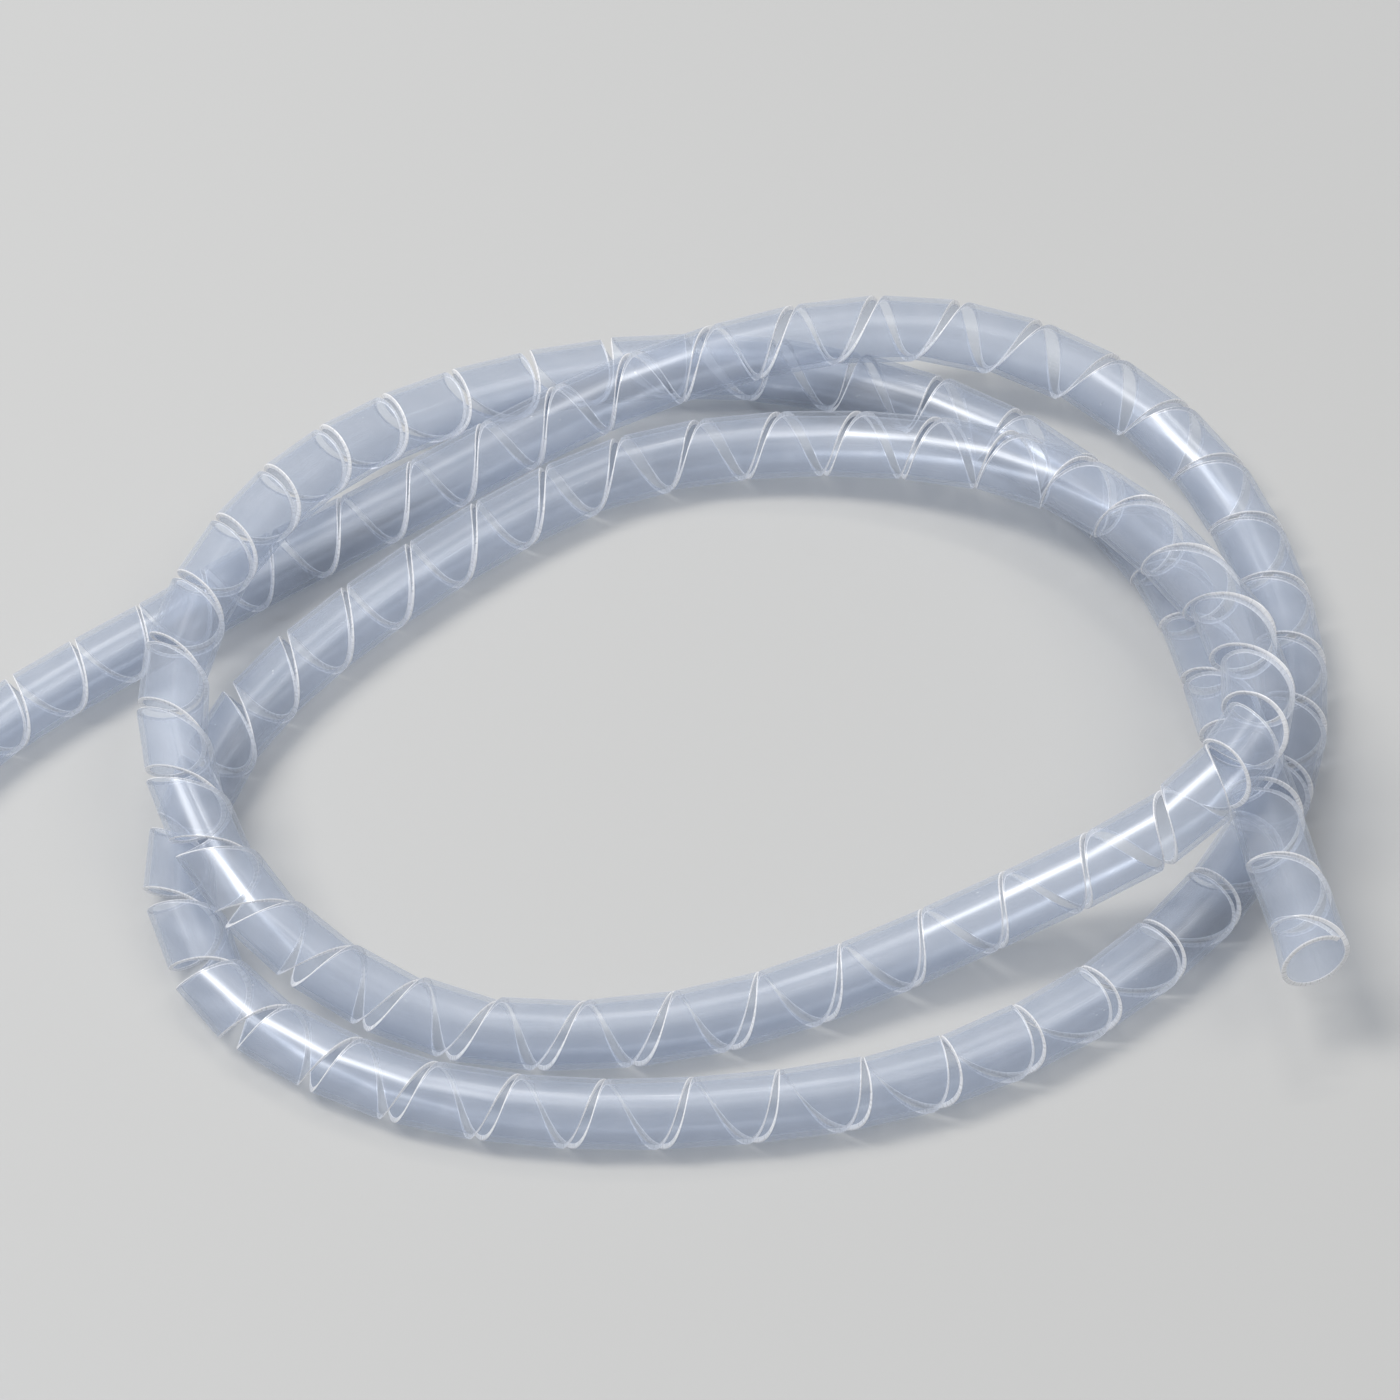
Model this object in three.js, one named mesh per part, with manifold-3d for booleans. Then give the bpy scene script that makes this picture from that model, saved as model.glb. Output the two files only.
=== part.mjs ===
// Spiral cable wrap: one tube of natural polyethylene, slit along a left-handed helix from end to end,
// so that the whole length is one flat band wound into a tube. It lies on the floor in a loose coil of
// two and a half loops, with one loose end in front and the other running out of the coil.
// Millimetres, +Z up, the floor at z = 0, the origin under the middle of the part's box.
import * as THREE from "three";
import { mergeVertices } from "three/addons/utils/BufferGeometryUtils.js";
import Module from "manifold-3d";

// Driving dimensions of the wrap
const tubeOuterDiameter = 10;
const wallThickness = 0.75;
const slitWidth = 0.3; // between two turns of the band, on the inner side of a bend
const stockLength = 1500; // along the middle of the tube
const freeEndCutAngle = 14; // degrees that the free end's cut is off square, seen from above
const freeEndSlitAngle = 113; // degrees from the top of the tube round its right side to the slit there

// Fineness of the model
const facetsPerTurn = 10;
const curveStep = 0.5; // between two points of the middle line
const spanSteps = 60; // chords that a span of the spline is measured by
const bendReach = 6; // how far to either side of a point its bend is measured
const straightPointGap = 20; // between route points where the tube runs straight on

// The route of the tube's middle line, from the free end to the run-out. Each point is x, y and how far
// the tube is lifted off the floor, in tube diameters: 0 lies on the floor, 1 lies on another strand.
const route = [
  [86, -60, 1.36],
  [85, -52.5, 1.28],
  [83, -44, 1.2],
  [81.5, -35.5, 1.13],
  [80, -26.5, 1.1],
  [77.5, -16, 0.78],
  [76, -6, 0.5],
  [72, 13, 0.16],
  [62.5, 30.5, 0],
  [48.5, 44.5, 0],
  [31, 54, 0],
  [11.5, 59.5, 0],
  [-8.5, 60, 0],
  [-27.5, 55, 0.15],
  [-44.5, 45.5, 0.5],
  [-59, 31.5, 0.96],
  [-70, 15, 1.08],
  [-76.5, -4, 1.02],
  [-75, -24, 1.1],
  [-67, -42, 0.88],
  [-52.5, -55, 0.43],
  [-34.5, -62.5, 0.12],
  [-14.5, -63, 0],
  [5, -59.5, 0],
  [23.5, -52.5, 0.02],
  [41.5, -45.5, 0.4],
  [59.5, -40, 1.18],
  [68.5, -36.5, 1.76],
  [75, -31, 2.1],
  [79.5, -22.5, 2.15],
  [79.5, -12.5, 1.8],
  [77.5, -2.5, 1.58],
  [73.5, 6.5, 1.38],
  [63, 23, 1.03],
  [47.5, 35, 0.7],
  [29, 41.5, 0.36],
  [9.5, 43.5, 0.12],
  [-10, 40.5, 0],
  [-27.5, 31, 0],
  [-43.5, 18.5, 0],
  [-58, 4.5, 0],
  [-69.5, -11.5, 0],
  [-75, -30.5, 0],
  [-74.5, -40.5, 0],
  [-71, -50, 0],
  [-65.5, -58.5, 0],
  [-49, -69.5, 0],
  [-30, -75, 0],
  [-10, -76.5, 0],
  [10, -75, 0],
  [29.5, -71, 0],
  [47.5, -62.5, 0],
  [63.5, -50.5, 0],
  [76.5, -35.5, 0],
  [85, -17.5, 0],
  [87.5, 2, 0],
  [84, 22, 0],
  [76, 40, 0.08],
  [62, 53.5, 0.3],
  [43.5, 60, 0.7],
  [24, 59, 1.1],
  [4.5, 54.5, 1.06],
  [-14, 49.5, 0.58],
  [-32, 41, 0.2],
  [-49, 30.5, 0.06],
  [-66, 20, 0],
  [-82, 8, 0],
  [-98.5, -4, 0],
  [-112, -18, 0],
  [-122, -36, 0],
  [-127.5, -56, 0],
  [-128, -77, 0],
  [-122.5, -98, 0],
  [-112, -116, 0],
  [-97, -130.5, 0],
  [-78, -140, 0],
  [-57, -144, 0],
  [-35, -144.5, 0],
  [-15, -144.5, 0],
];

// How the band is wound, in rows of the distance from the free end, the length of one turn there and
// how far the turns lean: looking away from the free end, the right side of a leaning turn is carried
// that far ahead, and its left side as far back.
const windingRows = [
  [0, 12.1, -1.2],
  [30, 13, 0.6],
  [70, 12.4, -2.2],
  [120, 13, 1.8],
  [200, 12.4, 1.9],
  [245, 11.5, 0.9],
  [300, 11.8, -1.7],
  [340, 11.6, 0],
  [380, 13.2, -0.5],
  [450, 13.2, 0.9],
  [463, 12.2, 0],
  [479, 8.6, 0.4],
  [495, 13, -1.8],
  [510, 13, -2.4],
  [560, 12.1, 0.8],
  [640, 12.3, -1.2],
  [700, 11.9, -1.4],
  [760, 12.1, 0.5],
  [820, 12.7, 0.7],
  [880, 12.4, 2.4],
  [940, 11.5, 0],
  [1000, 12.1, 0],
  [1060, 12.6, -0.9],
  [1120, 12.3, -1.1],
  [1180, 10.9, 0.4],
  [1230, 11.6, 0],
];

const outerRadius = tubeOuterDiameter / 2;
const innerRadius = outerRadius - wallThickness;
// The band is wound a turn and a half past each end of the stock, and then cut there.
const endAllowance = 1.5 * windingRows[0][1];
// A facet of the tube, not a corner, is what touches the floor.
const restHeight = outerRadius * Math.cos(Math.PI / facetsPerTurn);

// The route points in space, then carried straight on past the last one until the stock is used up.
function routePoints() {
  const points = route.map(
    ([x, y, lift]) => new THREE.Vector3(x, y, restHeight + lift * tubeOuterDiameter),
  );
  let length = 0;
  for (let i = 1; i < points.length; i++) length += points[i].distanceTo(points[i - 1]);
  const last = points[points.length - 1];
  const ahead = last.clone().sub(points[points.length - 2]).setZ(0).normalize();
  const needed = stockLength + endAllowance + 2 * straightPointGap - length;
  for (let run = straightPointGap; run < needed; run += straightPointGap)
    points.push(last.clone().addScaledVector(ahead, run));
  return points;
}

// A uniform cubic B-spline has no kink in its curvature. Its control points are the route points,
// pushed out sideways by a sixth of the bend there, so that seen from above the curve passes through
// the route points. Heights are left as they are, so that the curve never dips into the floor.
function splineControls(points) {
  return points.map((point, i) => {
    if (i === 0 || i === points.length - 1) return point.clone();
    const bend = points[i - 1].clone().add(points[i + 1]).addScaledVector(point, -2).setZ(0);
    return point.clone().addScaledVector(bend, -1 / 6);
  });
}

function splineAt(controls, t) {
  const span = Math.min(Math.floor(t), controls.length - 2);
  const f = t - span;
  const control = (i) => {
    if (i < 0) return controls[0].clone().multiplyScalar(2).sub(controls[1]);
    if (i >= controls.length) {
      const end = controls.length - 1;
      return controls[end].clone().multiplyScalar(2).sub(controls[end - 1]);
    }
    return controls[i];
  };
  return new THREE.Vector3()
    .addScaledVector(control(span - 1), (1 - f) ** 3 / 6)
    .addScaledVector(control(span), (3 * f ** 3 - 6 * f ** 2 + 4) / 6)
    .addScaledVector(control(span + 1), (-3 * f ** 3 + 3 * f ** 2 + 3 * f + 1) / 6)
    .addScaledVector(control(span + 2), f ** 3 / 6);
}

// The middle line as points a curveStep apart, with the tangent and the curvature at each.
function middleLine() {
  const controls = splineControls(routePoints());
  const fine = [];
  for (let i = 0; i <= (controls.length - 1) * spanSteps; i++)
    fine.push(splineAt(controls, i / spanSteps));
  const backward = fine[0].clone().sub(fine[1]).normalize();
  const spots = [];
  for (let s = -endAllowance; s < 0; s += curveStep)
    spots.push(fine[0].clone().addScaledVector(backward, -s));
  let travelled = 0;
  let next = 0;
  const firstOnCurve = spots.length;
  for (let i = 1; i < fine.length; i++) {
    const piece = fine[i].distanceTo(fine[i - 1]);
    while (next <= travelled + piece) {
      spots.push(fine[i - 1].clone().lerp(fine[i], (next - travelled) / piece));
      next += curveStep;
    }
    travelled += piece;
  }
  const reach = Math.round(bendReach / curveStep);
  return spots.map((point, i) => {
    const before = spots[Math.max(i - 1, 0)];
    const after = spots[Math.min(i + 1, spots.length - 1)];
    const back = spots[Math.max(i - reach, 0)];
    const front = spots[Math.min(i + reach, spots.length - 1)];
    const span = (Math.min(i + reach, spots.length - 1) - Math.max(i - reach, 0)) * curveStep;
    const turn = point.clone().sub(back).normalize().angleTo(front.clone().sub(point).normalize());
    return {
      s: (i - firstOnCurve) * curveStep,
      point,
      tangent: after.clone().sub(before).normalize(),
      curvature: (2 * turn) / span,
    };
  });
}

// Position, tangent and the two directions across the tube at a distance s along it.
function stationAt(line, s) {
  const place = (s - line[0].s) / curveStep;
  const i = Math.min(Math.max(Math.floor(place), 0), line.length - 2);
  const f = Math.min(Math.max(place - i, 0), 1);
  const point = line[i].point.clone().lerp(line[i + 1].point, f);
  const tangent = line[i].tangent.clone().lerp(line[i + 1].tangent, f).normalize();
  const side = tangent.clone().cross(new THREE.Vector3(0, 0, 1)).normalize();
  const top = side.clone().cross(tangent).normalize();
  return { point, tangent, side, top };
}

// The length of one turn and the lean of the turns at a distance s along the tube.
function windingAt(s) {
  const after = windingRows.findIndex((row) => row[0] > s);
  if (after === 0) return { turnLength: windingRows[0][1], lean: windingRows[0][2] };
  const from = windingRows.at(after - 1);
  const to = windingRows.at(after);
  const f = after < 0 ? 1 : (s - from[0]) / (to[0] - from[0]);
  return {
    turnLength: THREE.MathUtils.lerp(from[1], to[1], f),
    lean: THREE.MathUtils.lerp(from[2], to[2], f),
  };
}

// The number of turns that the slit has made at each point of the middle line, counted from the top
// of the tube. The slit is left-handed: looking along the route it turns from right to left over the top.
function slitTurns(line) {
  const start = line.findIndex((spot) => spot.s >= 0);
  const turns = line.map(() => -freeEndSlitAngle / 360);
  for (let i = start + 1; i < line.length; i++)
    turns[i] = turns[i - 1] + curveStep / windingAt(line[i].s - curveStep / 2).turnLength;
  for (let i = start - 1; i >= 0; i--)
    turns[i] = turns[i + 1] - curveStep / windingAt(line[i].s + curveStep / 2).turnLength;
  return turns;
}

// One cross-line of the band: straight along the tube, from one edge of the band to the other.
function bandSection(station, angle, width, lean) {
  const outward = station.top
    .clone()
    .multiplyScalar(Math.cos(angle))
    .addScaledVector(station.side, Math.sin(angle));
  const ahead = lean * Math.sin(angle);
  const corner = (radius, along) =>
    station.point
      .clone()
      .addScaledVector(outward, radius)
      .addScaledVector(station.tangent, ahead + along * (width / 2));
  return [
    corner(outerRadius, -1),
    corner(outerRadius, 1),
    corner(innerRadius, 1),
    corner(innerRadius, -1),
  ];
}

// The whole band, a little longer than the stock at both ends, as one closed mesh. In a bend its turns
// hinge on the inner side of the tube, where their edges almost meet, and the slit opens on the outer side.
function bandGeometry(line) {
  const turns = slitTurns(line);
  const sections = [];
  let i = 0;
  for (let facet = Math.ceil(turns[0] * facetsPerTurn); ; facet++) {
    const wanted = (facet + 0.5) / facetsPerTurn;
    while (i + 2 < turns.length && turns[i + 1] < wanted) i++;
    const s = line[i].s + (curveStep * (wanted - turns[i])) / (turns[i + 1] - turns[i]);
    if (s > stockLength + endAllowance) break;
    const { turnLength, lean } = windingAt(s);
    const width = turnLength * (1 - outerRadius * line[i].curvature) - slitWidth;
    // The middle of the band is half a turn round from the slit.
    const angle = -2 * Math.PI * (wanted + 0.5);
    sections.push(bandSection(stationAt(line, s), angle, width, lean));
  }
  const positions = sections.flat().flatMap((corner) => corner.toArray());
  const faces = [];
  for (let k = 0; k + 1 < sections.length; k++) {
    for (let c = 0; c < 4; c++) {
      const a = 4 * k + c;
      const b = 4 * k + ((c + 1) % 4);
      faces.push(a, b, b + 4, a, b + 4, a + 4);
    }
  }
  const end = 4 * (sections.length - 1);
  faces.push(0, 2, 1, 0, 3, 2);
  faces.push(end, end + 1, end + 2, end, end + 2, end + 3);
  const geometry = new THREE.BufferGeometry();
  geometry.setAttribute("position", new THREE.Float32BufferAttribute(positions, 3));
  geometry.setIndex(faces);
  return geometry;
}

const wasm = await Module();
wasm.setup();

function solidFrom(geometry) {
  const bare = geometry.clone();
  bare.deleteAttribute("normal");
  bare.deleteAttribute("uv");
  const merged = mergeVertices(bare, 1e-5);
  return new wasm.Manifold(
    new wasm.Mesh({
      numProp: 3,
      vertProperties: merged.attributes.position.array,
      triVerts: new Uint32Array(merged.index.array),
    }),
  );
}

function geometryFrom(solid) {
  const mesh = solid.getMesh();
  const geometry = new THREE.BufferGeometry();
  geometry.setAttribute("position", new THREE.BufferAttribute(new Float32Array(mesh.vertProperties), 3));
  geometry.setIndex(new THREE.BufferAttribute(new Uint32Array(mesh.triVerts), 1));
  return geometry;
}

// A block that stands on the plane of an end cut and takes away everything beyond it.
function endBlock(point, outward) {
  const across = 2.4 * tubeOuterDiameter; // wider than the cut face, and clear of every other strand
  const deep = 2 * endAllowance; // longer than what is wound past the end
  const block = new THREE.BoxGeometry(across, across, deep);
  block.translate(0, 0, deep / 2);
  block.applyQuaternion(
    new THREE.Quaternion().setFromUnitVectors(new THREE.Vector3(0, 0, 1), outward),
  );
  block.translate(point.x, point.y, point.z);
  return solidFrom(block);
}

function wrapGeometry() {
  const line = middleLine();
  const freeEnd = stationAt(line, 0);
  const farEnd = stationAt(line, stockLength);
  const freeCut = freeEnd.tangent
    .clone()
    .negate()
    .applyAxisAngle(new THREE.Vector3(0, 0, 1), THREE.MathUtils.degToRad(freeEndCutAngle));
  const whole = solidFrom(bandGeometry(line));
  const trimmed = whole
    .subtract(endBlock(freeEnd.point, freeCut))
    .subtract(endBlock(farEnd.point, farEnd.tangent));
  const geometry = geometryFrom(trimmed);
  geometry.computeBoundingBox();
  const middle = geometry.boundingBox.getCenter(new THREE.Vector3());
  geometry.translate(-middle.x, -middle.y, -geometry.boundingBox.min.z);
  return geometry;
}

const polyethylene = new THREE.MeshStandardMaterial({
  color: 0xc4cddb,
  roughness: 0.3,
  metalness: 0,
  transparent: true,
  opacity: 0.6,
});

const wrap = new THREE.Mesh(wrapGeometry(), polyethylene);
wrap.name = "spiral_wrap";

const part = new THREE.Group();
part.name = "spiral_cable_wrap";
part.add(wrap);

export default part;
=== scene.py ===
# %% [markdown]
# # A loose coil of spiral cable wrap
# The object is one tube of natural polyethylene, 10 mm across, slit along a left-handed helix from
# end to end. It is a single flat band wound into a tube. It lies on the floor in a loose coil of
# two and a half loops. One cut end rests on the strands in front, and the other runs out of the
# coil.
#
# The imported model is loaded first, and its box is kept, so that the finished mesh can be set
# against it.

import math

import bpy
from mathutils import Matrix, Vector


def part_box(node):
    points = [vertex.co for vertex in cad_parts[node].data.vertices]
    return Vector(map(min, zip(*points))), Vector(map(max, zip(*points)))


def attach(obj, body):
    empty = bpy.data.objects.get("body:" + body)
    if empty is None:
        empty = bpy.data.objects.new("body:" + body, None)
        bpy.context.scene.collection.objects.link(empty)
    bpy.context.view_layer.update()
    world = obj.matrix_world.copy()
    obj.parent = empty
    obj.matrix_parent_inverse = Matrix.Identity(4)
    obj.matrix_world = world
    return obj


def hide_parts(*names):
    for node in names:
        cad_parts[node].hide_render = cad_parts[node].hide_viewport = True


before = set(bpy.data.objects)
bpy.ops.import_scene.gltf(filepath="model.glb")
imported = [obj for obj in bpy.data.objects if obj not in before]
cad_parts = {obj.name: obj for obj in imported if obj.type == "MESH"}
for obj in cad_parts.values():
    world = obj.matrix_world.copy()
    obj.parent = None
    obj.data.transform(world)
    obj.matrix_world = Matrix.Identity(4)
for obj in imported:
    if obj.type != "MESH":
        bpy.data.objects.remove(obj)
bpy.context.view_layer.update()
bpy.ops.object.select_all(action="DESELECT")
MM = 0.001

# %% [markdown]
# ## Camera
# The photo looks down on the coil from the front, 53 degrees above the floor, with a long lens
# from almost a metre away. The lens is long, so near and far strands come out nearly the same
# width. The camera is aimed at a point on the floor near the middle of the big loop.

# %% Camera
CAMERA_ELEVATION = math.radians(53)
CAMERA_DISTANCE = 0.892
PHOTO_FOCAL_PIXELS = 6000
PHOTO_WIDTH_PIXELS = 1400
SENSOR_WIDTH = 36
aim = Vector((0.0202, 0.0419, 0))
back = Vector((0, -math.cos(CAMERA_ELEVATION), math.sin(CAMERA_ELEVATION)))
bpy.ops.object.camera_add(location=aim + CAMERA_DISTANCE * back)
camera = bpy.context.object
camera.name = "camera"
camera.rotation_euler = (math.pi / 2 - CAMERA_ELEVATION, 0, 0)
camera.data.sensor_width = SENSOR_WIDTH
camera.data.lens = PHOTO_FOCAL_PIXELS * SENSOR_WIDTH / PHOTO_WIDTH_PIXELS
camera.data.clip_end = 20
bpy.context.scene.camera = camera
print("lens", round(camera.data.lens, 1), "mm")

# %% [markdown]
# ## The route of the tube
# A free tube lies in smooth curves, so its middle line is a spline through listed points.
# Each point is x, y in millimetres and how far the tube is lifted off the floor, in tube
# diameters: 0 lies on the floor and 1 lies on another strand. The points run from the free end to
# the run-out.

# %% Sizes and route
TUBE_DIAMETER = 10 * MM
WALL = 0.75 * MM
SLIT = 0.3 * MM
STOCK_LENGTH = 1500 * MM
FREE_END_CUT = math.radians(14)
FREE_END_SLIT = 113 / 360
STEP = 0.5 * MM
SPAN_STEPS = 60
BEND_REACH = 6 * MM
STRAIGHT_GAP = 20 * MM

route = [
    (86, -60, 1.36), (85, -52.5, 1.28), (83, -44, 1.2), (81.5, -35.5, 1.13), (80, -26.5, 1.1),
    (77.5, -16, 0.78), (76, -6, 0.5), (72, 13, 0.16), (62.5, 30.5, 0), (48.5, 44.5, 0),
    (31, 54, 0), (11.5, 59.5, 0), (-8.5, 60, 0), (-27.5, 55, 0.15), (-44.5, 45.5, 0.5),
    (-59, 31.5, 0.96), (-70, 15, 1.08), (-76.5, -4, 1.02), (-75, -24, 1.1), (-67, -42, 0.88),
    (-52.5, -55, 0.43), (-34.5, -62.5, 0.12), (-14.5, -63, 0), (5, -59.5, 0), (23.5, -52.5, 0.02),
    (41.5, -45.5, 0.4), (59.5, -40, 1.18), (68.5, -36.5, 1.76), (75, -31, 2.1), (79.5, -22.5, 2.15),
    (79.5, -12.5, 1.8), (77.5, -2.5, 1.58), (73.5, 6.5, 1.38), (63, 23, 1.03), (47.5, 35, 0.7),
    (29, 41.5, 0.36), (9.5, 43.5, 0.12), (-10, 40.5, 0), (-27.5, 31, 0), (-43.5, 18.5, 0),
    (-58, 4.5, 0), (-69.5, -11.5, 0), (-75, -30.5, 0), (-74.5, -40.5, 0), (-71, -50, 0),
    (-65.5, -58.5, 0), (-49, -69.5, 0), (-30, -75, 0), (-10, -76.5, 0), (10, -75, 0),
    (29.5, -71, 0), (47.5, -62.5, 0), (63.5, -50.5, 0), (76.5, -35.5, 0), (85, -17.5, 0),
    (87.5, 2, 0), (84, 22, 0), (76, 40, 0.08), (62, 53.5, 0.3), (43.5, 60, 0.7),
    (24, 59, 1.1), (4.5, 54.5, 1.06), (-14, 49.5, 0.58), (-32, 41, 0.2), (-49, 30.5, 0.06),
    (-66, 20, 0), (-82, 8, 0), (-98.5, -4, 0), (-112, -18, 0), (-122, -36, 0),
    (-127.5, -56, 0), (-128, -77, 0), (-122.5, -98, 0), (-112, -116, 0), (-97, -130.5, 0),
    (-78, -140, 0), (-57, -144, 0), (-35, -144.5, 0), (-15, -144.5, 0),
]

# How the band is wound: distance from the free end, length of one turn there, how far the turns
# lean.
winding_rows = [
    (0, 12.1, -1.2), (30, 13, 0.6), (70, 12.4, -2.2), (120, 13, 1.8), (200, 12.4, 1.9),
    (245, 11.5, 0.9), (300, 11.8, -1.7), (340, 11.6, 0), (380, 13.2, -0.5), (450, 13.2, 0.9),
    (463, 12.2, 0), (479, 8.6, 0.4), (495, 13, -1.8), (510, 13, -2.4), (560, 12.1, 0.8),
    (640, 12.3, -1.2), (700, 11.9, -1.4), (760, 12.1, 0.5), (820, 12.7, 0.7), (880, 12.4, 2.4),
    (940, 11.5, 0), (1000, 12.1, 0), (1060, 12.6, -0.9), (1120, 12.3, -1.1), (1180, 10.9, 0.4),
    (1230, 11.6, 0),
]
OUTER = TUBE_DIAMETER / 2
INNER = OUTER - WALL
LEAD_TURNS = 1.5
LEAD = LEAD_TURNS * winding_rows[0][1] * MM
print(len(route), "route points")

# %% [markdown]
# ## The middle line
# A uniform cubic B-spline has no kink in its curvature, which suits a springy tube. Its control
# points are pushed out sideways by a sixth of the bend, so that from above it passes through the
# route points. It is then walked in even steps, and each step keeps its place, its direction and
# how tightly it bends.


# %% Middle line
def route_points():
    points = [Vector((x * MM, y * MM, OUTER + lift * TUBE_DIAMETER)) for x, y, lift in route]
    length = sum((b - a).length for a, b in zip(points, points[1:]))
    last = points[-1]
    ahead = last - points[-2]
    ahead.z = 0
    ahead.normalize()
    run = STRAIGHT_GAP
    while run < STOCK_LENGTH + LEAD + 2 * STRAIGHT_GAP - length:
        points.append(last + ahead * run)
        run += STRAIGHT_GAP
    return points


def spline_controls(points):
    controls = [p.copy() for p in points]
    for i in range(1, len(points) - 1):
        bend = points[i - 1] + points[i + 1] - 2 * points[i]
        bend.z = 0
        controls[i] = points[i] - bend / 6
    return [2 * controls[0] - controls[1], *controls, 2 * controls[-1] - controls[-2]]


def spline_line(controls):
    fine = []
    for i in range(1, len(controls) - 2):
        a, b, c, d = controls[i - 1 : i + 3]
        for k in range(SPAN_STEPS):
            f = k / SPAN_STEPS
            fine.append(
                a * ((1 - f) ** 3 / 6)
                + b * ((3 * f**3 - 6 * f**2 + 4) / 6)
                + c * ((-3 * f**3 + 3 * f**2 + 3 * f + 1) / 6)
                + d * (f**3 / 6)
            )
    return fine


def middle_line():
    fine = spline_line(spline_controls(route_points()))
    backward = (fine[0] - fine[1]).normalized()
    lead_steps = math.ceil(LEAD / STEP)
    spots = [fine[0] + backward * (k * STEP) for k in range(lead_steps, 0, -1)]
    travelled = 0
    following = 0
    for a, b in zip(fine, fine[1:]):
        piece = (b - a).length
        while following <= travelled + piece:
            spots.append(a.lerp(b, (following - travelled) / piece))
            following += STEP
        travelled += piece
    return spots, lead_steps


spots, lead_steps = middle_line()
last_spot = len(spots) - 1
tangents = [
    (spots[min(i + 1, last_spot)] - spots[max(i - 1, 0)]).normalized() for i in range(len(spots))
]
reach = round(BEND_REACH / STEP)


def bend_at(i):
    before = max(i - reach, 0)
    after = min(i + reach, last_spot)
    if before == i or after == i:
        return 0
    turn = (spots[i] - spots[before]).angle(spots[after] - spots[i], 0)
    return 2 * turn / ((after - before) * STEP)


bends = [bend_at(i) for i in range(len(spots))]
print("middle line", len(spots), "points, tightest bend", round(1 / max(bends) / MM, 1), "mm radius")

# %% [markdown]
# ## The winding
# The slit is cut by a knife that goes round while the tube is drawn past it, so one turn takes 11
# to 13 mm of tube. In the photo the turns have slid a little: some lean, their length varies, and
# one in the tightest bend is much shorter. At each whole count of turns the slit is on top of the
# tube. The slit is left-handed, so its angle falls as the count rises.


# %% Winding
def winding_at(s):
    rows = winding_rows
    if s <= rows[0][0] * MM:
        return rows[0][1] * MM, rows[0][2] * MM
    for (s0, turn0, lean0), (s1, turn1, lean1) in zip(rows, rows[1:]):
        if s < s1 * MM:
            f = (s / MM - s0) / (s1 - s0)
            return (turn0 + f * (turn1 - turn0)) * MM, (lean0 + f * (lean1 - lean0)) * MM
    return rows[-1][1] * MM, rows[-1][2] * MM


turns = [-FREE_END_SLIT] * len(spots)
for i in range(lead_steps + 1, len(spots)):
    turns[i] = turns[i - 1] + STEP / winding_at((i - lead_steps - 0.5) * STEP)[0]
for i in range(lead_steps - 1, -1, -1):
    turns[i] = turns[i + 1] - STEP / winding_at((i - lead_steps + 0.5) * STEP)[0]


def station(place):
    i = min(max(int(place), 0), last_spot - 1)
    f = place - i
    point = spots[i].lerp(spots[i + 1], f)
    tangent = tangents[i].lerp(tangents[i + 1], f).normalized()
    side = tangent.cross(Vector((0, 0, 1))).normalized()
    return point, tangent, side, side.cross(tangent).normalized()


print("turns", round(turns[-1] - turns[0], 1))

# %% [markdown]
# ## The band
# The band is built one cross-line at a time. Each cross-line is straight along the tube, so every
# turn is a short stiff piece of tube, and in a bend the turns hinge on the inner side and gape on
# the outer side. In the tightest bend each turn also slides a little way into the next one on the
# inner side. The section is a long thin strip with rounded corners, because a cut edge of
# polyethylene catches the light. At both ends of the stock the strip is cut off by a plane.
#
# An attribute named lip is 1 on the cut edges and 0 on the wall, where the finish puts a painted
# glow.
# One named wrap_place gives the distance round and along the tube, so that the finish and its
# painted glints can follow the winding.

# %% Band
SEGMENTS = 48
LIP_OUTER = 0.13 * MM
LIP_INNER = 0.08 * MM
LIP_GLOW = 0.2 * MM
LEAST_WIDTH = 0.3 * MM
LEAST_WIDTH_IN_GLOWS = 2.4
SLIDE_FROM = 0.8 * MM
SLIDE_SHARE = 0.8
TILT_SHARE = 1.2
TILT_MOST = 0.55 * MM

free_point, free_tangent, _, _ = station(lead_steps)
far_place = lead_steps + STOCK_LENGTH / STEP
far_point, far_tangent, _, _ = station(far_place)
free_cos, free_sin = math.cos(FREE_END_CUT), math.sin(FREE_END_CUT)
free_normal = Vector(
    (
        free_tangent.y * free_sin - free_tangent.x * free_cos,
        -free_tangent.x * free_sin - free_tangent.y * free_cos,
        -free_tangent.z,
    )
)

# One row a profile point: the edge it belongs to, how far in from that edge it is, the radius, its
# lip.
profile = [
    (-1, LIP_GLOW, OUTER, 0.0),
    (-1, LIP_OUTER, OUTER, 1.0),
    (-1, 0.0, OUTER - LIP_OUTER, 1.0),
    (-1, 0.0, INNER + LIP_INNER, 1.0),
    (-1, LIP_INNER, INNER, 1.0),
    (-1, LIP_GLOW, INNER, 0.0),
    (1, LIP_GLOW, INNER, 0.0),
    (1, LIP_INNER, INNER, 1.0),
    (1, 0.0, INNER + LIP_INNER, 1.0),
    (1, 0.0, OUTER - LIP_OUTER, 1.0),
    (1, LIP_OUTER, OUTER, 1.0),
    (1, LIP_GLOW, OUTER, 0.0),
]


def cut_distance(origin, direction, plane_point, plane_normal):
    return (plane_point - origin).dot(plane_normal) / direction.dot(plane_normal)


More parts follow.
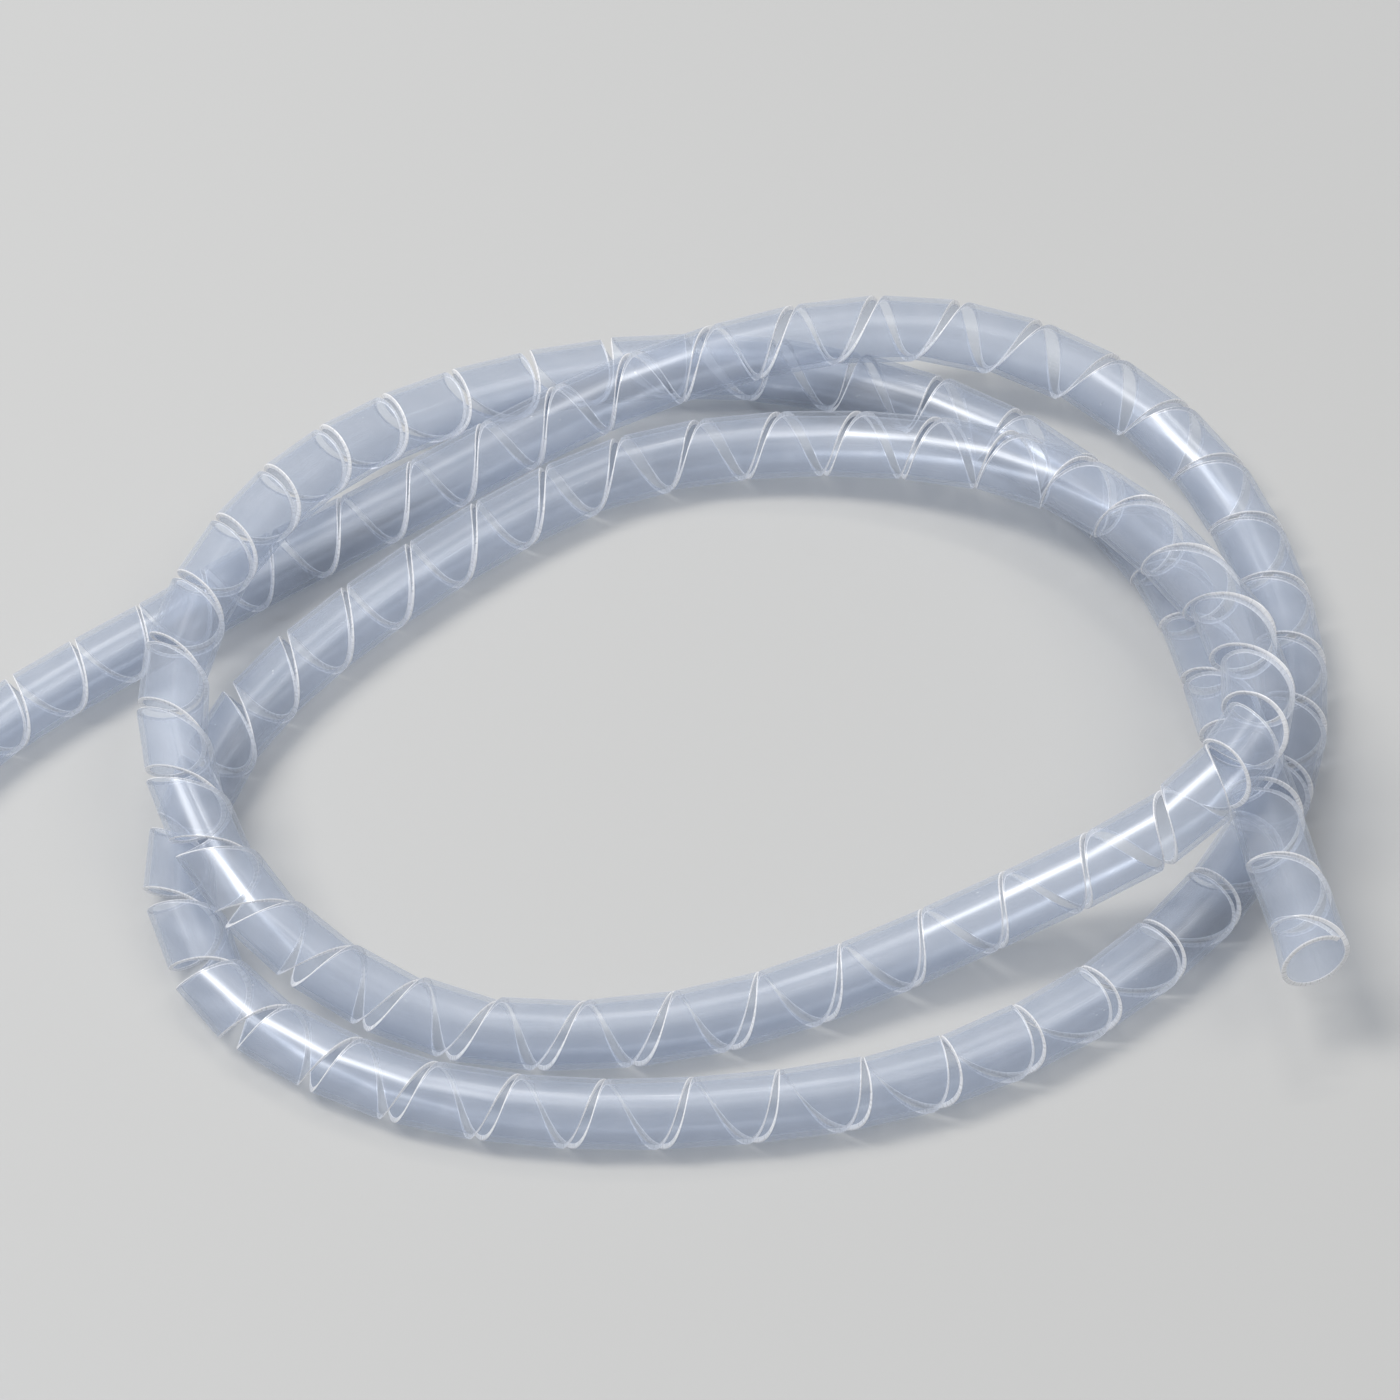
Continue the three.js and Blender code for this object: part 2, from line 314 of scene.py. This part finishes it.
def band_section(count):
    """The points of one cross-line and what goes with them, or None where the cut leaves none."""
    low, high = 0, last_spot
    while high - low > 1:
        middle = (low + high) // 2
        if turns[middle] < count:
            low = middle
        else:
            high = middle
    place = low + (count - turns[low]) / (turns[high] - turns[low])
    s = (place - lead_steps) * STEP
    turn_length, lean = winding_at(s)
    squeeze = turn_length * OUTER * bends[low]
    slide = max((squeeze - SLIDE_FROM) * SLIDE_SHARE, 0)
    width = turn_length - squeeze - SLIT + slide
    angle = -2 * math.pi * (count + 0.5)
    point, tangent, side, top = station(place)
    outward = top * math.cos(angle) + side * math.sin(angle)
    ahead = min(low + reach, last_spot)
    inner_side = (tangents[ahead] - tangents[max(low - reach, 0)]).normalized()
    tilt = min(TILT_SHARE * slide, TILT_MOST) * max(outward.dot(inner_side), 0)
    middle_ahead = lean * math.sin(angle)
    limits = []
    for radius in (OUTER, INNER):
        origin = point + outward * radius
        near = middle_ahead - width / 2
        far = middle_ahead + width / 2
        if s < LEAD:
            near = max(near, cut_distance(origin, tangent, free_point, free_normal))
        if s > STOCK_LENGTH - LEAD:
            far = min(far, cut_distance(origin, tangent, far_point, far_tangent))
        limits.append((near, far))
    narrowest = min(far - near for near, far in limits)
    if narrowest < LEAST_WIDTH:
        return None
    glow = min(1, narrowest / (LEAST_WIDTH_IN_GLOWS * LIP_GLOW))
    rows = []
    for edge, inset, radius, lip in profile:
        share = (radius - INNER) / WALL
        near = limits[1][0] + share * (limits[0][0] - limits[1][0])
        far = limits[1][1] + share * (limits[0][1] - limits[1][1])
        along = near + inset * glow if edge < 0 else far - inset * glow
        proud = -tilt * (along - middle_ahead) / (width / 2)
        where = point + outward * (radius + proud) + tangent * along
        rows.append((where, lip, (angle * OUTER, s + along, radius)))
    return rows


sections = []
count = math.ceil(turns[0] * SEGMENTS + 0.5) / SEGMENTS
while count < turns[-1]:
    section = band_section(count)
    if section is not None:
        sections.append(section)
    count += 1 / SEGMENTS
across = len(profile)
points = [row[0] for section in sections for row in section]
lips = [row[1] for section in sections for row in section]
places = [row[2] for section in sections for row in section]
faces = []
for k in range(len(sections) - 1):
    for c in range(across):
        a = across * k + c
        b = across * k + (c + 1) % across
        faces.append((a, a + across, b + across, b))
faces.append(tuple(range(across)))
end = across * (len(sections) - 1)
faces.append(tuple(end + c for c in reversed(range(across))))
print(len(sections), "cross-lines,", 2 * len(faces), "triangles")

# %% [markdown]
# The mesh is set in the frame by its box: the origin lies under the middle of the part, so the
# middle of the fine mesh goes where the middle of the CAD solid is. Its faces are turned outwards,
# and only the corners of the strip stay crisp.

# %% Mesh object
SMOOTH_ANGLE = math.radians(40)
low = Vector([min(p[k] for p in points) for k in range(3)])
high = Vector([max(p[k] for p in points) for k in range(3)])
cad_low, cad_high = (Vector(corner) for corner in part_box("spiral_wrap"))
shift = (cad_low + cad_high) / 2 - (low + high) / 2
shift.z = cad_low.z - low.z
mesh = bpy.data.meshes.new("spiral_wrap_band")
mesh.from_pydata([p + shift for p in points], [], faces)
mesh.update()
lip_attribute = mesh.attributes.new("lip", "FLOAT", "POINT")
lip_attribute.data.foreach_set("value", lips)
place_attribute = mesh.attributes.new("wrap_place", "FLOAT_VECTOR", "POINT")
place_attribute.data.foreach_set("vector", [value for place in places for value in place])
wrap = bpy.data.objects.new("spiral_wrap_band", mesh)
bpy.context.collection.objects.link(wrap)
bpy.context.view_layer.objects.active = wrap
wrap.select_set(True)
bpy.ops.object.mode_set(mode="EDIT")
bpy.ops.mesh.select_all(action="SELECT")
bpy.ops.mesh.normals_make_consistent(inside=False)
bpy.ops.object.mode_set(mode="OBJECT")
bpy.ops.object.shade_smooth_by_angle(angle=SMOOTH_ANGLE)
print("shift", [round(v / MM, 2) for v in shift], "mm")

# %% [markdown]
# ## What the wrap is to the frame
# It stands for the CAD solid, which is hidden, and rides on the part's only body. The middle line
# is kept as a path along the 1.5 m of stock.

# %% Frame calls
PATH_STRIDE = 4
path = [spots[i] + shift for i in range(lead_steps, int(far_place) + 1, PATH_STRIDE)]
path.append(far_point + shift)
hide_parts("spiral_wrap")
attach(wrap, "root")
print("path", len(path), "points")

# %% [markdown]
# ## Natural polyethylene
# Natural polyethylene is milky: part of the light goes straight through the wall and part is
# scattered, with a faint blue cast. Its skin is satin, with fine lines along the tube from the
# extruder. A few short slanted dashes are painted near white on it as glints, painted highlights
# of a lamp on the inner wall. The cut edges are painted near white and more solid, a painted glow
# of the light that travels inside the wall and comes out there. The wall is therefore a mix of a
# clear shader and a glossy scattering one, and the share of each follows the viewing angle, as in
# any thin milky sheet. For the light of the lamps a plain clear shader stands in, because a ray
# passes up to a dozen walls and each one costs time.


# %% Node helpers
def node(tree, kind, **inputs):
    made = tree.nodes.new(kind)
    for name, value in inputs.items():
        made.inputs[name.replace("_", " ")].default_value = value
    return made


def link(tree, source, target):
    tree.links.new(source, target)


def ramp(tree, source, stops):
    made = tree.nodes.new("ShaderNodeValToRGB")
    elements = made.color_ramp.elements
    while len(elements) < len(stops):
        elements.new(0.5)
    for element, (position, colour) in zip(elements, stops):
        element.position = position
        element.color = (*colour, 1) if hasattr(colour, "__len__") else (colour, colour, colour, 1)
    link(tree, source, made.inputs["Fac"])
    return made.outputs["Color"]


def maths(tree, operation, first, second):
    made = tree.nodes.new("ShaderNodeMath")
    made.operation = operation
    for socket, value in zip(made.inputs, (first, second)):
        if isinstance(value, (int, float)):
            socket.default_value = value
        else:
            link(tree, value, socket)
    return made.outputs[0]


def stretched(tree, source, scale, turn=0.0):
    made = tree.nodes.new("ShaderNodeMapping")
    made.inputs["Scale"].default_value = scale
    made.inputs["Rotation"].default_value = (0, 0, turn)
    link(tree, source, made.inputs["Vector"])
    return made.outputs["Vector"]


# %% Polyethylene
WALL_BLUE = (0.69, 0.74, 0.82)
WALL_PALE = (0.77, 0.81, 0.88)
# Painted glow: the cut edges are painted near white and more solid, for the light that comes out of
# the wall there.
LIP_GLOW_WHITE = (0.95, 0.945, 0.95)
CLEAR_TINT = (0.895, 0.915, 0.95, 1)
LAMP_TINT = (0.78, 0.795, 0.82, 1)
LINE_SCALE = (2600, 45, 0)
# Painted glints: short slanted dashes painted near white and more solid, standing in for highlights
# of a lamp on the inner wall.
GLINT_SCALE = (700, 190, 0)
GLINT_TURN = 0.5
GLINT_RARITY = 0.6
LIP_GLOW_OPACITY = 0.8
GLINT_OPACITY = 0.4
material = bpy.data.materials.new("natural_polyethylene")
material.use_nodes = True
tree = material.node_tree
tree.nodes.clear()
output = tree.nodes.new("ShaderNodeOutputMaterial")
body = node(tree, "ShaderNodeBsdfPrincipled", IOR=2.0)
body.inputs["Specular IOR Level"].default_value = 1.0
clear = node(tree, "ShaderNodeBsdfTransparent", Color=CLEAR_TINT)
mix = tree.nodes.new("ShaderNodeMixShader")

lip = tree.nodes.new("ShaderNodeAttribute")
lip.attribute_name = "lip"
wrap_place = tree.nodes.new("ShaderNodeAttribute")
wrap_place.attribute_name = "wrap_place"
object_place = tree.nodes.new("ShaderNodeTexCoord").outputs["Object"]

draw_lines = node(tree, "ShaderNodeTexNoise", Scale=1.0, Detail=1.0)
along_wrap = stretched(tree, wrap_place.outputs["Vector"], LINE_SCALE)
link(tree, along_wrap, draw_lines.inputs["Vector"])
clouds = node(tree, "ShaderNodeTexNoise", Scale=260.0, Detail=0.0)
link(tree, object_place, clouds.inputs["Vector"])

# Rare cells of this slanted pattern give the short dashes of the painted glints.
glint_cells = node(tree, "ShaderNodeTexVoronoi", Scale=1.0)
slantwise = stretched(tree, wrap_place.outputs["Vector"], GLINT_SCALE, GLINT_TURN)
link(tree, slantwise, glint_cells.inputs["Vector"])
glint_near = ramp(tree, glint_cells.outputs["Distance"], [(0.0, 1.0), (0.03, 1.0), (0.055, 0.0)])
glint_chosen = maths(tree, "GREATER_THAN", glint_cells.outputs["Color"], GLINT_RARITY)
painted_glints = maths(tree, "MULTIPLY", glint_near, glint_chosen)

wall_colour = ramp(tree, clouds.outputs["Fac"], [(0.3, WALL_BLUE), (0.7, WALL_PALE)])
# The base colour goes near white at the painted glow of the cut edges and at the painted glints.
glow_and_glints = maths(tree, "MAXIMUM", lip.outputs["Fac"], painted_glints)
colour = tree.nodes.new("ShaderNodeMix")
colour.data_type = "RGBA"
link(tree, glow_and_glints, colour.inputs["Factor"])
link(tree, wall_colour, colour.inputs[6])
colour.inputs[7].default_value = (*LIP_GLOW_WHITE, 1)
link(tree, colour.outputs[2], body.inputs["Base Color"])

roughness = ramp(tree, draw_lines.outputs["Fac"], [(0.3, 0.22), (0.7, 0.38)])
link(tree, roughness, body.inputs["Roughness"])

facing = node(tree, "ShaderNodeLayerWeight", Blend=0.35)
milkiness = [(0.0, 0.16), (0.5, 0.2), (0.8, 0.42), (1.0, 0.85)]
wall_share = ramp(tree, facing.outputs["Facing"], milkiness)
# The painted glow makes the wall more solid at the cut edges.
lip_glow_share = maths(tree, "MULTIPLY", lip.outputs["Fac"], LIP_GLOW_OPACITY)
# The painted glints make the wall more solid where they lie.
glint_share = maths(tree, "MULTIPLY", painted_glints, GLINT_OPACITY)
edge_share = maths(tree, "MAXIMUM", wall_share, lip_glow_share)
solid_share = maths(tree, "MAXIMUM", edge_share, glint_share)
link(tree, solid_share, mix.inputs["Fac"])
link(tree, clear.outputs[0], mix.inputs[1])
link(tree, body.outputs[0], mix.inputs[2])

light_path = tree.nodes.new("ShaderNodeLightPath")
lamp_light = node(tree, "ShaderNodeBsdfTransparent", Color=LAMP_TINT)
either = tree.nodes.new("ShaderNodeMixShader")
link(tree, light_path.outputs["Is Shadow Ray"], either.inputs["Fac"])
link(tree, mix.outputs[0], either.inputs[1])
link(tree, lamp_light.outputs[0], either.inputs[2])
link(tree, either.outputs[0], output.inputs["Surface"])
wrap.data.materials.append(material)
print("material", material.name)

# %% [markdown]
# ## Floor and light
# The floor is plain and pale. A long soft light stands above and to the left, so that the strands
# that run from upper left to lower right carry a bright band. A wide weaker one on the right does
# the same for the others, and a narrow one behind draws a fine line along the strands at the back.

# %% Floor and light
bpy.ops.mesh.primitive_plane_add(size=6, location=(0, 0, 0))
floor = bpy.context.object
floor.name = "floor"
floor_material = bpy.data.materials.new("pale_floor")
floor_material.use_nodes = True
floor_shader = floor_material.node_tree.nodes["Principled BSDF"]
floor_shader.inputs["Base Color"].default_value = (0.46, 0.46, 0.455, 1)
floor_shader.inputs["Roughness"].default_value = 0.8
floor.data.materials.append(floor_material)


def soft_light(name, direction, distance, size, power):
    where = Vector(direction).normalized() * distance
    bpy.ops.object.light_add(type="AREA", location=aim + where)
    light = bpy.context.object
    light.name = name
    light.data.shape = "RECTANGLE"
    light.data.size, light.data.size_y = size
    light.data.energy = power
    light.rotation_euler = where.to_track_quat("Z", "Y").to_euler()


soft_light("key_light", (-0.45, 0.05, 0.88), 1.6, (0.35, 0.8), 24)
soft_light("fill_light", (0.5, -0.05, 0.85), 1.8, (0.8, 0.9), 7)
soft_light("back_light", (-0.03, 0.4, 0.92), 1.6, (0.3, 0.06), 3)
world = bpy.data.worlds.new("studio")
bpy.context.scene.world = world
world.use_nodes = True
sky = world.node_tree.nodes["Background"]
sky.inputs["Color"].default_value = (0.95, 0.97, 1, 1)
sky.inputs["Strength"].default_value = 0.25
bpy.context.scene.view_settings.view_transform = "Standard"
print("stage ready")
